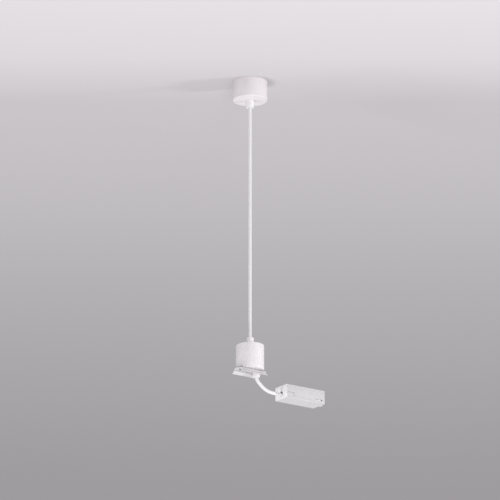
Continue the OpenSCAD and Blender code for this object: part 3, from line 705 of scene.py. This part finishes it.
def lift_by(value):
    """A vector that points up by a number."""
    return add_node(fastener, "ShaderNodeCombineXYZ", {2: value}).outputs[0]


def moved(geometry, offset):
    """A shape, shifted by a vector."""
    return add_node(fastener, "GeometryNodeTransform", {
        "Geometry": geometry, "Translation": offset}).outputs[0]


print("fastener inputs:", len(fast_in.outputs) - 1)

# %% Head and shank
# the head is a rod in two bands, whose top ring is drawn in to make the crown
head_h = fast_in.outputs["Head Height"]
rod = add_node(fastener, "GeometryNodeMeshCylinder", {
    "Vertices": 32, "Side Segments": 2, "Radius": fast_in.outputs["Head Radius"],
    "Depth": head_h})
corner = add_node(fastener, "GeometryNodeInputPosition").outputs[0]
corner_z = add_node(fastener, "ShaderNodeSeparateXYZ", {0: corner}).outputs["Z"]
overlap = half_of(half_of(head_h))
top_ring = add_node(fastener, "FunctionNodeCompare", {0: corner_z, 1: overlap},
                    operation="GREATER_THAN")
inwards = add_node(fastener, "ShaderNodeCombineXYZ", {
    0: fast_in.outputs["Crown"], 1: fast_in.outputs["Crown"], 2: 1.0})
drawn_place = add_node(fastener, "ShaderNodeVectorMath", {
    0: corner, 1: inwards.outputs[0]}, operation="MULTIPLY")
crowned = add_node(fastener, "GeometryNodeSetPosition", {
    "Geometry": rod.outputs["Mesh"], "Selection": top_ring.outputs[0],
    "Position": drawn_place.outputs[0]})
head_up = moved(crowned.outputs[0], lift_by(half_of(head_h)))
# the shank reaches a little way into the head, so that the two join cleanly
shank_h = add_node(fastener, "ShaderNodeMath", {
    0: fast_in.outputs["Shank Length"], 1: overlap}, operation="ADD")
shank = add_node(fastener, "GeometryNodeMeshCylinder", {
    "Vertices": 24, "Radius": fast_in.outputs["Shank Radius"], "Depth": shank_h.outputs[0]})
shank_drop = add_node(fastener, "ShaderNodeMath", {
    0: overlap, 1: fast_in.outputs["Shank Length"]}, operation="SUBTRACT")
shank_low = moved(shank.outputs["Mesh"], lift_by(half_of(shank_drop.outputs[0])))
solid = add_node(fastener, "GeometryNodeMeshBoolean", operation="UNION", solver="EXACT")
for shape in (head_up, shank_low):
    fastener.links.new(shape, solid.inputs["Mesh 2"])
print("head and shank nodes:", len(fastener.nodes))

# %% Driver recess
# the second bar is a little smaller, so that no two faces of the bars lie in one plane
SECOND_BAR = 0.94

bar_size = add_node(fastener, "ShaderNodeCombineXYZ", {
    0: fast_in.outputs["Recess Length"], 1: fast_in.outputs["Recess Width"],
    2: fast_in.outputs["Recess Depth"]})
bar = add_node(fastener, "GeometryNodeMeshCube", {"Size": bar_size.outputs[0]})
quarter = add_node(fastener, "ShaderNodeMath", {
    0: fast_in.outputs["Cross"], 1: math.pi / 2}, operation="MULTIPLY")
turn_bar = add_node(fastener, "ShaderNodeCombineXYZ", {2: quarter.outputs[0]})
bar_across = add_node(fastener, "GeometryNodeTransform", {
    "Geometry": bar.outputs["Mesh"], "Rotation": turn_bar.outputs[0],
    "Scale": (SECOND_BAR, SECOND_BAR, SECOND_BAR)})
driven = add_node(fastener, "GeometryNodeMeshBoolean", {
    "Mesh 1": solid.outputs["Mesh"]}, operation="DIFFERENCE", solver="EXACT")
for shape in (bar.outputs["Mesh"], bar_across.outputs[0]):
    fastener.links.new(moved(shape, lift_by(head_h)), driven.inputs["Mesh 2"])
with_recess = add_node(fastener, "GeometryNodeSwitch", {
    "Switch": fast_in.outputs["Recess Length"], "False": solid.outputs["Mesh"],
    "True": driven.outputs["Mesh"]}, input_type="GEOMETRY")
print("with the recess:", len(fastener.nodes))

# %% A copy on every point
aimed = add_node(fastener, "FunctionNodeAlignRotationToVector", {
    "Vector": fast_in.outputs["Axis"]}, axis="Z")
set_out = add_node(fastener, "GeometryNodeInstanceOnPoints", {
    "Points": fast_in.outputs["Geometry"], "Instance": with_recess.outputs[0],
    "Rotation": aimed.outputs["Rotation"]})
fast_real = add_node(fastener, "GeometryNodeRealizeInstances", {0: set_out.outputs[0]})
fast_dressed = add_node(fastener, "GeometryNodeSetMaterial", {
    "Geometry": fast_real.outputs[0], "Material": fast_in.outputs["Material"]})
fastener.links.new(fast_dressed.outputs[0], fast_out.inputs[0])
print("whole fastener tree:", len(fastener.nodes), "nodes")

# %% [markdown]
# Each row of this table is one set of fasteners, all in millimetres, as in the CAD model: the
# places of the heads' seats, the way the heads face, the head's radius, height and crown, the
# shank's radius and length, and the recess's length, width, depth and whether it is a cross.

# %% Fastener table
BLOCK_AT = Vector((65.5, 0, -565))
POLE_PITCH = 8
RIVET_Y, CEILING_FOOT_Z, CAN_FOOT_Z = 18.05, -3, -520.6
CLIP_SCREW_X = (-19, -6)
RIVET, NO_RECESS = ((2.6, 1.1, 0.6), (1.5, 3)), (0, 0, 0, 0)


def in_block(x, y, z):
    """A place in the scene from a place in the connector block."""
    return tuple(BLOCK_AT + Vector((x, y, z)))


FASTENERS = {
    "ceiling_rivets": ([(0, s * RIVET_Y, CEILING_FOOT_Z) for s in (-1, 1)], -1, *RIVET,
                       NO_RECESS),
    "can_rivets": ([(0, s * RIVET_Y, CAN_FOOT_Z) for s in (-1, 1)], 1, *RIVET, NO_RECESS),
    "clip_screws": ([(x, 0, CLIP_UNDER) for x in CLIP_SCREW_X], -1, (2.7, 1.8, 0.7),
                    (1.5, 5), (2.7, 0.6, 1.8, 1)),
    "cover_screws": ([in_block(22, 10.6, 22.5), in_block(56, -9.2, 22.5)], 1,
                     (2.6, 1.1, 0.7), (1.4, 11), (2.6, 0.6, 1.3, 1)),
    "cord_clamp_screws": ([in_block(11, s * 6.4, 13.3) for s in (-1, 1)], 1,
                          (2.6, 1.8, 0.7), (1.4, 10), (2.6, 0.6, 1.8, 1)),
    "contact_screws": ([in_block(34, y, 12.2) for y in (-10, 0, 10)], 1, (1.4, 0.5, 0.8),
                       (1.3, 3.3), (3.4, 0.5, 1.2, 0)),
    "terminal_screws": ([(pole * POLE_PITCH, s * 3.4, -12) for pole in (-1, 0, 1)
                         for s in (-1, 1)], -1, (1.4, 0.5, 0.8), (1.3, 3.1),
                        (3.4, 0.5, 1.2, 0)),
    "terminal_fixing_screws": ([(s * 4, 0, -13.5) for s in (-1, 1)], -1, (1.9, 1.2, 0.7),
                               (1.1, 13.3), (1.9, 0.5, 1.2, 1)),
}
print("sets of fasteners:", len(FASTENERS))

# %% Fastener sets
for node, (places, way, head, shank_size, recess) in FASTENERS.items():
    points = bpy.data.meshes.new(node)
    points.from_pydata([Vector(p) * MM for p in places], [], [])
    # the clip's screws are painted black: a painted shadow in the clip's channel
    metal = painted_shadow_screw if node == "clip_screws" else bright_screw
    piece = made_by(f"{node}_set", fastener, {
        "Head Radius": head[0] * MM, "Head Height": head[1] * MM, "Crown": head[2],
        "Shank Radius": shank_size[0] * MM, "Shank Length": shank_size[1] * MM,
        "Recess Length": recess[0] * MM, "Recess Width": recess[1] * MM,
        "Recess Depth": recess[2] * MM, "Cross": float(recess[3]),
        "Axis": (0.0, 0.0, float(way)), "Material": metal}, metal, points)
    settle(piece, "hanging_frame", "steel", node)
    print(node, len(places), "pieces,", len(piece.data.polygons), "faces")

# %% [markdown]
# ## Track clip
#
# The clip is one strip of sheet: a web, two walls, and lips that flare outwards to snap over
# a track. Its section is drawn as a closed outline, the inner face one sheet's thickness in
# from the outer one, and pushed along the track's direction. Rounded bends are what tells
# folded sheet from a block.

# %% Clip section
CLIP_BEND_R, CLIP_H, CLIP_WALL_H, LIP_SPAN, LIP_EDGE = 2.6, 8.5, 4.0, 28.6, 1


def clip_section():
    """The closed outline of the folded sheet, from one lip over the web to the other."""
    w, tip = CLIP_W / 2, LIP_SPAN / 2
    slope = (tip - w) / (CLIP_H - CLIP_WALL_H - LIP_EDGE)
    knee = -CLIP_WALL_H
    inner_knee = knee - CLIP_T * (math.sqrt(1 + slope * slope) - 1) / slope
    half = [(w, 0, CLIP_BEND_R), (w, knee, 0.5), (tip, -CLIP_H + LIP_EDGE, 0.3),
            (tip, -CLIP_H, 0.3), (tip - CLIP_T, -CLIP_H, 0.3),
            (tip - CLIP_T, inner_knee - (tip - w) / slope, 0.2),
            (w - CLIP_T, inner_knee, 1.2), (w - CLIP_T, -CLIP_T, CLIP_BEND_R - CLIP_T)]
    other = [(-x, z, r) for x, z, r in reversed(half)]
    return rounded(half + other, steps=6)


print("clip section:", len(clip_section()), "points")

# %% Folded sheet
def pushed(name, outline, start, end, material):
    """Extrudes an outline of (y, z) in millimetres along X."""
    bm = bmesh.new()
    ends = [[bm.verts.new((x * MM, p.x * MM, (CLIP_TOP + p.y) * MM)) for p in outline]
            for x in (start, end)]
    count = len(outline)
    for i in range(count):
        j = (i + 1) % count
        bm.faces.new((ends[0][i], ends[0][j], ends[1][j], ends[1][i]))
    bm.faces.new(ends[0])
    bm.faces.new(list(reversed(ends[1])))
    close_seams(bm)
    mesh = mesh_from(bm, name)
    shade(mesh)
    return link_mesh(name, mesh, material)


clip = pushed("track_clip_folded", clip_section(), -CLIP_L / 2, CLIP_L / 2, clip_white_painted_shade)
print("folded sheet faces:", len(clip.data.polygons))

# %% Holes and edges of the clip
SCREW_HOLE_R, HOLE_LOW, HOLE_HIGH = 1.55, -530, -520
CUT_EDGE, CUT_SHARP_DEG = 0.15, 40


def rod_mesh(x, radius):
    """An upright rod through the clip's web, used as a cutter; x and radius in millimetres."""
    bm = bmesh.new()
    bmesh.ops.create_cone(bm, cap_ends=True, segments=64, radius1=radius * MM,
                          radius2=radius * MM, depth=(HOLE_HIGH - HOLE_LOW) * MM)
    bmesh.ops.translate(bm, verts=bm.verts, vec=Vector((x, 0, (HOLE_LOW + HOLE_HIGH) / 2)) * MM)
    return mesh_from(bm, "hole")


def softly_bevelled(obj, width, degrees):
    """Breaks the edges that are sharper than an angle by a small radius in millimetres."""
    step = obj.modifiers.new("edges", "BEVEL")
    step.width = width * MM
    step.segments = 2
    step.limit_method = "ANGLE"
    step.angle_limit = math.radians(degrees)
    step.use_clamp_overlap = True
    return baked(obj)


cut(clip, rod_mesh(LEAD_X, STEM_HOLE_R), *[rod_mesh(x, SCREW_HOLE_R) for x in CLIP_SCREW_X])
softly_bevelled(clip, CUT_EDGE, CUT_SHARP_DEG)
paint(clip.data, clip_white_painted_shade)
settle(clip, "hanging_frame", "white_metal", "track_clip")
print("clip faces:", len(clip.data.polygons))

# %% [markdown]
# ## Moulded and stamped pieces
#
# The plates, straps, mouldings and contacts already have the right shape in the CAD model,
# but its edges are razor sharp. Modelling them again would only risk a wrong fit. So a copy of
# the mesh is merged, its flat faces are joined, and a bevel breaks each edge by a tenth or two
# of a millimetre, as stamping and moulding do.

# %% Softening a copy
FLAT_WITHIN_DEG, SHARP_DEG = 0.8, 35


def softened(node, width, material, slot, body="hanging_frame"):
    """A copy of a CAD node with its sharp edges broken by width, in millimetres."""
    bm = bmesh.new()
    bm.from_mesh(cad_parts[node].data)
    bmesh.ops.remove_doubles(bm, verts=bm.verts, dist=MERGE_WITHIN)
    bmesh.ops.dissolve_limit(bm, angle_limit=math.radians(FLAT_WITHIN_DEG), verts=bm.verts,
                             edges=bm.edges)
    mesh = mesh_from(bm, node)
    for layer in list(mesh.uv_layers):
        mesh.uv_layers.remove(layer)
    piece = softly_bevelled(link_mesh(f"{node}_soft", mesh, material), width, SHARP_DEG)
    paint(piece.data, material)
    settle(piece, body, slot, node)
    print(node, "faces:", len(piece.data.polygons))
    return piece


print("faces within", FLAT_WITHIN_DEG, "degrees are joined, edges over", SHARP_DEG, "are broken")

# %% Softened copies
for node, width in (("ceiling_plate", 0.12), ("ceiling_strap", 0.15), ("can_strap", 0.15),
                    ("lead_grip_nut", 0.2)):
    softened(node, width, zinc_steel, "steel")
softened("base_plate", 0.15, can_white, "steel")
softened("terminal_housing", 0.12, white_housing_and_painted_light, "white_plastic")
for node, width in (("block_base", 0.25), ("block_cover", 0.2), ("cord_clamp_bar", 0.3)):
    softened(node, width, block_grey_white, "block_plastic")
# the end cap is one moulding, but its end face is painted whiter than its other faces: painted
# light
end_cap = softened("cable_end_cap", 0.25, white_housing_and_painted_light, "end_cap_plastic")
end_cap.data.materials.append(block_grey_white)
for face in end_cap.data.polygons:
    face.material_index = int(face.normal.x > -0.9)
softened("lock_slide", 0.2, slide_white, "end_cap_plastic", "lock")
for node in ("live_contact", "neutral_contact", "earth_contact"):
    softened(node, 0.08, tinned_brass, "brass")

# %% [markdown]
# The brass tubes of the terminal housing keep their CAD shape. Only their finish changes, so
# the material goes into the object's own slots.

# %% Brass tubes
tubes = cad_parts["terminal_tubes"]
for holder in tubes.material_slots:
    holder.material = brass_bar
print("brass tubes:", len(tubes.material_slots), "slot")

# %% [markdown]
# ## Cores
#
# Where the sheath ends, three cores fan out to the terminals, at the ceiling and in the
# block. Each is a round tube swept along a smooth line through a few points. The sweep also
# writes a UV map, which the striped earth core needs.

# %% Smooth line
def smooth_line(points, steps=8):
    """Points on a Catmull-Rom line through the given points."""
    pts = [Vector(p) for p in points]
    pts = [pts[0] * 2 - pts[1]] + pts + [pts[-1] * 2 - pts[-2]]
    line = []
    for a, b, c, d in zip(pts, pts[1:], pts[2:], pts[3:]):
        for i in range(steps):
            t = i / steps
            line.append(0.5 * (2 * b + (c - a) * t + (2 * a - 5 * b + 4 * c - d) * t ** 2
                               + (3 * b - a - 3 * c + d) * t ** 3))
    return line + [pts[-2]]


corner_line = smooth_line([(0, 0, 0), (1, 0, 0), (1, 1, 0)])
print("a line through 3 points gets", len(corner_line), "points")

# %% Swept core
CORE_D, CORE_SIDES, UV_RUN, CORE_SMOOTH_DEG = 2.0, 20, 10, 50


def swept_core(name, points, material, first_side):
    """A round core along the points; its UV map runs round it and then along it."""
    line = smooth_line(points)
    bm = bmesh.new()
    uv = bm.loops.layers.uv.new("UVMap")
    side = Vector(first_side)
    rings, runs, run = [], [], 0.0
    for i, here in enumerate(line):
        ahead = (line[min(i + 1, len(line) - 1)] - line[max(i - 1, 0)]).normalized()
        side = (side - ahead * side.dot(ahead)).normalized()
        other = ahead.cross(side)
        if i:
            run += (here - line[i - 1]).length
        runs.append(run)
        rings.append([bm.verts.new((here + CORE_D / 2 * (
            math.cos(2 * math.pi * k / CORE_SIDES) * side
            + math.sin(2 * math.pi * k / CORE_SIDES) * other)) * MM)
            for k in range(CORE_SIDES)])
    for i in range(len(rings) - 1):
        for k in range(CORE_SIDES):
            j = (k + 1) % CORE_SIDES
            face = bm.faces.new((rings[i][k], rings[i][j], rings[i + 1][j], rings[i + 1][k]))
            turns = (k, k + 1, k + 1, k)
            lengths = (runs[i], runs[i], runs[i + 1], runs[i + 1])
            for loop, u, v in zip(face.loops, turns, lengths):
                loop[uv].uv = (u / CORE_SIDES, v / UV_RUN)
    bm.faces.new(list(reversed(rings[0])))
    bm.faces.new(rings[-1])
    mesh = mesh_from(bm, name)
    shade(mesh, CORE_SMOOTH_DEG)
    return link_mesh(name, mesh, material)


print("a core's thickness:", CORE_D, "mm")

# %% Three cores at each end
CABLE_TOP, POLE_Z, CORE_IN_Z, CONTACT_PITCH = -24, -7.8, 7.8, 10
CORES = {"live": (-1, core_brown, "core_brown"), "neutral": (1, core_blue, "core_blue"),
         "earth": (0, core_striped, "core_green")}
for label, (pole, material, slot) in CORES.items():
    x0, y0 = (0, -1.4) if pole == 0 else (pole * 1.3, 0.7)
    x, y = pole * POLE_PITCH, pole * CONTACT_PITCH
    top = [(x0, y0, CABLE_TOP), (x0, y0, CABLE_TOP + 2), (x * 0.5, -6, -17.6),
           (x, -11.4, -12.9), (x, -10.4, -8.9), (x, -8, POLE_Z), (x, -3.6, POLE_Z)]
    low = [in_block(*p) for p in (
        (15.5, x0, CORE_IN_Z + y0), (17.5, x0, CORE_IN_Z + y0),
        (24.5, y * 0.75, CORE_IN_Z), (28, y, CORE_IN_Z), (36, y, CORE_IN_Z))]
    for end, route, across in (("ceiling", top, (1, 0, 0)), ("block", low, (0, 0, 1))):
        piece = swept_core(f"{end}_{label}_core_swept", route, material, across)
        settle(piece, "hanging_frame", slot, f"{end}_{label}_core")
print("cores:", 2 * len(CORES))

# %% [markdown]
# ## The cable rides on the hanging frame
#
# The cable rides on the hanging frame and stands for its CAD tube.

settle(cable, "hanging_frame", "cable_sheath", "supply_cable")

# %% [markdown]
# ## Ceiling and floor
#
# The part hangs under a ceiling, which is the background of the photograph. Its colour is
# painted darker as it recedes, and also behind the lens, where the lamps stand close to it:
# this is painted shade. The ceiling is see-through from above, so that it never hides the
# part. Rays shorter than TOUCHING pass through it too, so that it doesn't blacken what lies
# against it. A pale floor far below shows only to the camera and only from above, so that the
# room's light still reaches the part from below.

# %% Sheets of the stage
SHEET_REACH = 30


def stage_material(name):
    """A matt surface that is see-through from behind; returns its tree, colour and mix."""
    material = bpy.data.materials.new(name)
    material.use_nodes = True
    tree = material.node_tree
    tree.nodes.clear()
    matt = tree.nodes.new("ShaderNodeBsdfDiffuse")
    clear = tree.nodes.new("ShaderNodeBsdfTransparent")
    side = tree.nodes.new("ShaderNodeNewGeometry").outputs["Backfacing"]
    both = add_node(tree, "ShaderNodeMixShader", {0: side, 1: matt.outputs[0],
                                                  2: clear.outputs[0]})
    out = tree.nodes.new("ShaderNodeOutputMaterial")
    tree.links.new(both.outputs[0], out.inputs["Surface"])
    return material, tree, matt.inputs["Color"], both.inputs[0]


def wide_sheet(name, height, faces_down, material):
    """A flat square at a height in metres, which rides on no body of the object."""
    bm = bmesh.new()
    bmesh.ops.create_grid(bm, x_segments=1, y_segments=1, size=SHEET_REACH)
    bmesh.ops.translate(bm, verts=bm.verts, vec=(0, 0, height))
    if faces_down:
        bmesh.ops.reverse_faces(bm, faces=bm.faces)
    sheet = link_mesh(name, mesh_from(bm, name), material)
    print(name, "at", height, "m,", round(sheet.dimensions.x), "m wide")


print("each sheet reaches", SHEET_REACH, "m from its middle")

# %% Ceiling
# (distance along RECEDING in metres, painted shade colour there)
CEILING_PAINTED_SHADE = [(-2.6, (0.3, 0.29, 0.3)), (-1.3, (0.44, 0.425, 0.44)),
                 (-0.5, (0.69, 0.667, 0.687)), (-0.126, (0.64, 0.617, 0.637)),
                 (0.112, (0.53, 0.511, 0.527)), (0.69, (0.512, 0.497, 0.512)),
                 (1.2, (0.486, 0.474, 0.488)), (2.56, (0.446, 0.435, 0.448))]
NEAREST, FARTHEST = -2.6, 2.9
RECEDING = (0.574, 0.819, 0)
TOUCHING, CEILING_Z = 0.0006, 0.0002

ceiling_paint, tree, ceiling_colour, ceiling_mix = stage_material("ceiling_paint")
depth_along = add_node(tree, "ShaderNodeVectorMath", {
    0: tree.nodes.new("ShaderNodeTexCoord").outputs["Object"], 1: RECEDING},
    operation="DOT_PRODUCT")
fade = add_node(tree, "ShaderNodeValToRGB", {
    "Fac": add_node(tree, "ShaderNodeMapRange", {
        "Value": depth_along.outputs["Value"], "From Min": NEAREST,
        "From Max": FARTHEST}).outputs[0]})
stops = fade.color_ramp.elements
stops.remove(stops[1])
for i, (distance, tone) in enumerate(CEILING_PAINTED_SHADE):
    place = (distance - NEAREST) / (FARTHEST - NEAREST)
    stop = stops.new(place) if i else stops[0]
    stop.position, stop.color = place, (*tone, 1)
tree.links.new(fade.outputs["Color"], ceiling_colour)
closeness = add_node(tree, "ShaderNodeMath", {
    0: tree.nodes.new("ShaderNodeLightPath").outputs["Ray Length"], 1: TOUCHING},
    operation="LESS_THAN")
open_above = add_node(tree, "ShaderNodeMath", {
    0: ceiling_mix.links[0].from_socket, 1: closeness.outputs[0]}, operation="MAXIMUM")
tree.links.new(open_above.outputs[0], ceiling_mix)
wide_sheet("ceiling", CEILING_Z, True, ceiling_paint)

# %% Floor
FLOOR_COLOUR, FLOOR_Z = (0.6, 0.595, 0.605), -0.78

floor_paint, tree, floor_colour, floor_mix = stage_material("floor_paint")
floor_colour.default_value = (*FLOOR_COLOUR, 1)
lens_ray = tree.nodes.new("ShaderNodeLightPath").outputs["Is Camera Ray"]
not_lens = add_node(tree, "ShaderNodeMath", {0: 1.0, 1: lens_ray}, operation="SUBTRACT")
unseen = add_node(tree, "ShaderNodeMath", {
    0: floor_mix.links[0].from_socket, 1: not_lens.outputs[0]}, operation="MAXIMUM")
tree.links.new(unseen.outputs[0], floor_mix)
wide_sheet("floor", FLOOR_Z, False, floor_paint)

# %% [markdown]
# ## Lamps and room
#
# A lamp stands at the right of the picture, and a weaker one beside the lens. The third one
# hangs under the part, to its left, and casts the small shadow at the right of the canopy.
# All are round area lamps, whose shadows have soft edges, as in the photograph. An even white
# room lights the rest. Its level is a little lower where the camera or a reflection sees it.

# %% Lamps and room light
ROOM_COLOUR, ROOM_LEVEL, ROOM_SEEN = (1.0, 0.98, 1.0), 0.68, 0.6
LAMP_AIM = Vector((0, 0, -0.3))
# each lamp: its place in metres, its power in watts and its width in metres
LAMPS = {"key": ((2.1, -2.35, -1.05), 39, 0.5), "lens": ((-1.1, -2.65, -1.35), 21, 0.8),
         "below": ((-0.8, 0.35, -2.4), 18, 0.9)}
for name, (place, power, width) in LAMPS.items():
    light = bpy.data.lights.new(name, "AREA")
    light.energy, light.shape, light.size = power, "DISK", width
    lamp = bpy.data.objects.new(name, light)
    bpy.context.scene.collection.objects.link(lamp)
    lamp.location = place
    lamp.rotation_euler = (LAMP_AIM - Vector(place)).to_track_quat("-Z", "Y").to_euler()
world = bpy.data.worlds.new("room")
world.use_nodes = True
backdrop = world.node_tree.nodes["Background"]
backdrop.inputs["Color"].default_value = (*ROOM_COLOUR, 1)
rays = world.node_tree.nodes.new("ShaderNodeLightPath")
seen = add_node(world.node_tree, "ShaderNodeMath", {
    0: rays.outputs["Is Camera Ray"], 1: rays.outputs["Is Glossy Ray"]}, operation="MAXIMUM")
level = add_node(world.node_tree, "ShaderNodeMapRange", {
    "Value": seen.outputs[0], "To Min": ROOM_LEVEL, "To Max": ROOM_SEEN})
world.node_tree.links.new(level.outputs["Result"], backdrop.inputs["Strength"])
bpy.context.scene.world = world
bpy.context.scene.view_settings.view_transform = "Standard"
print("lamps:", list(LAMPS))
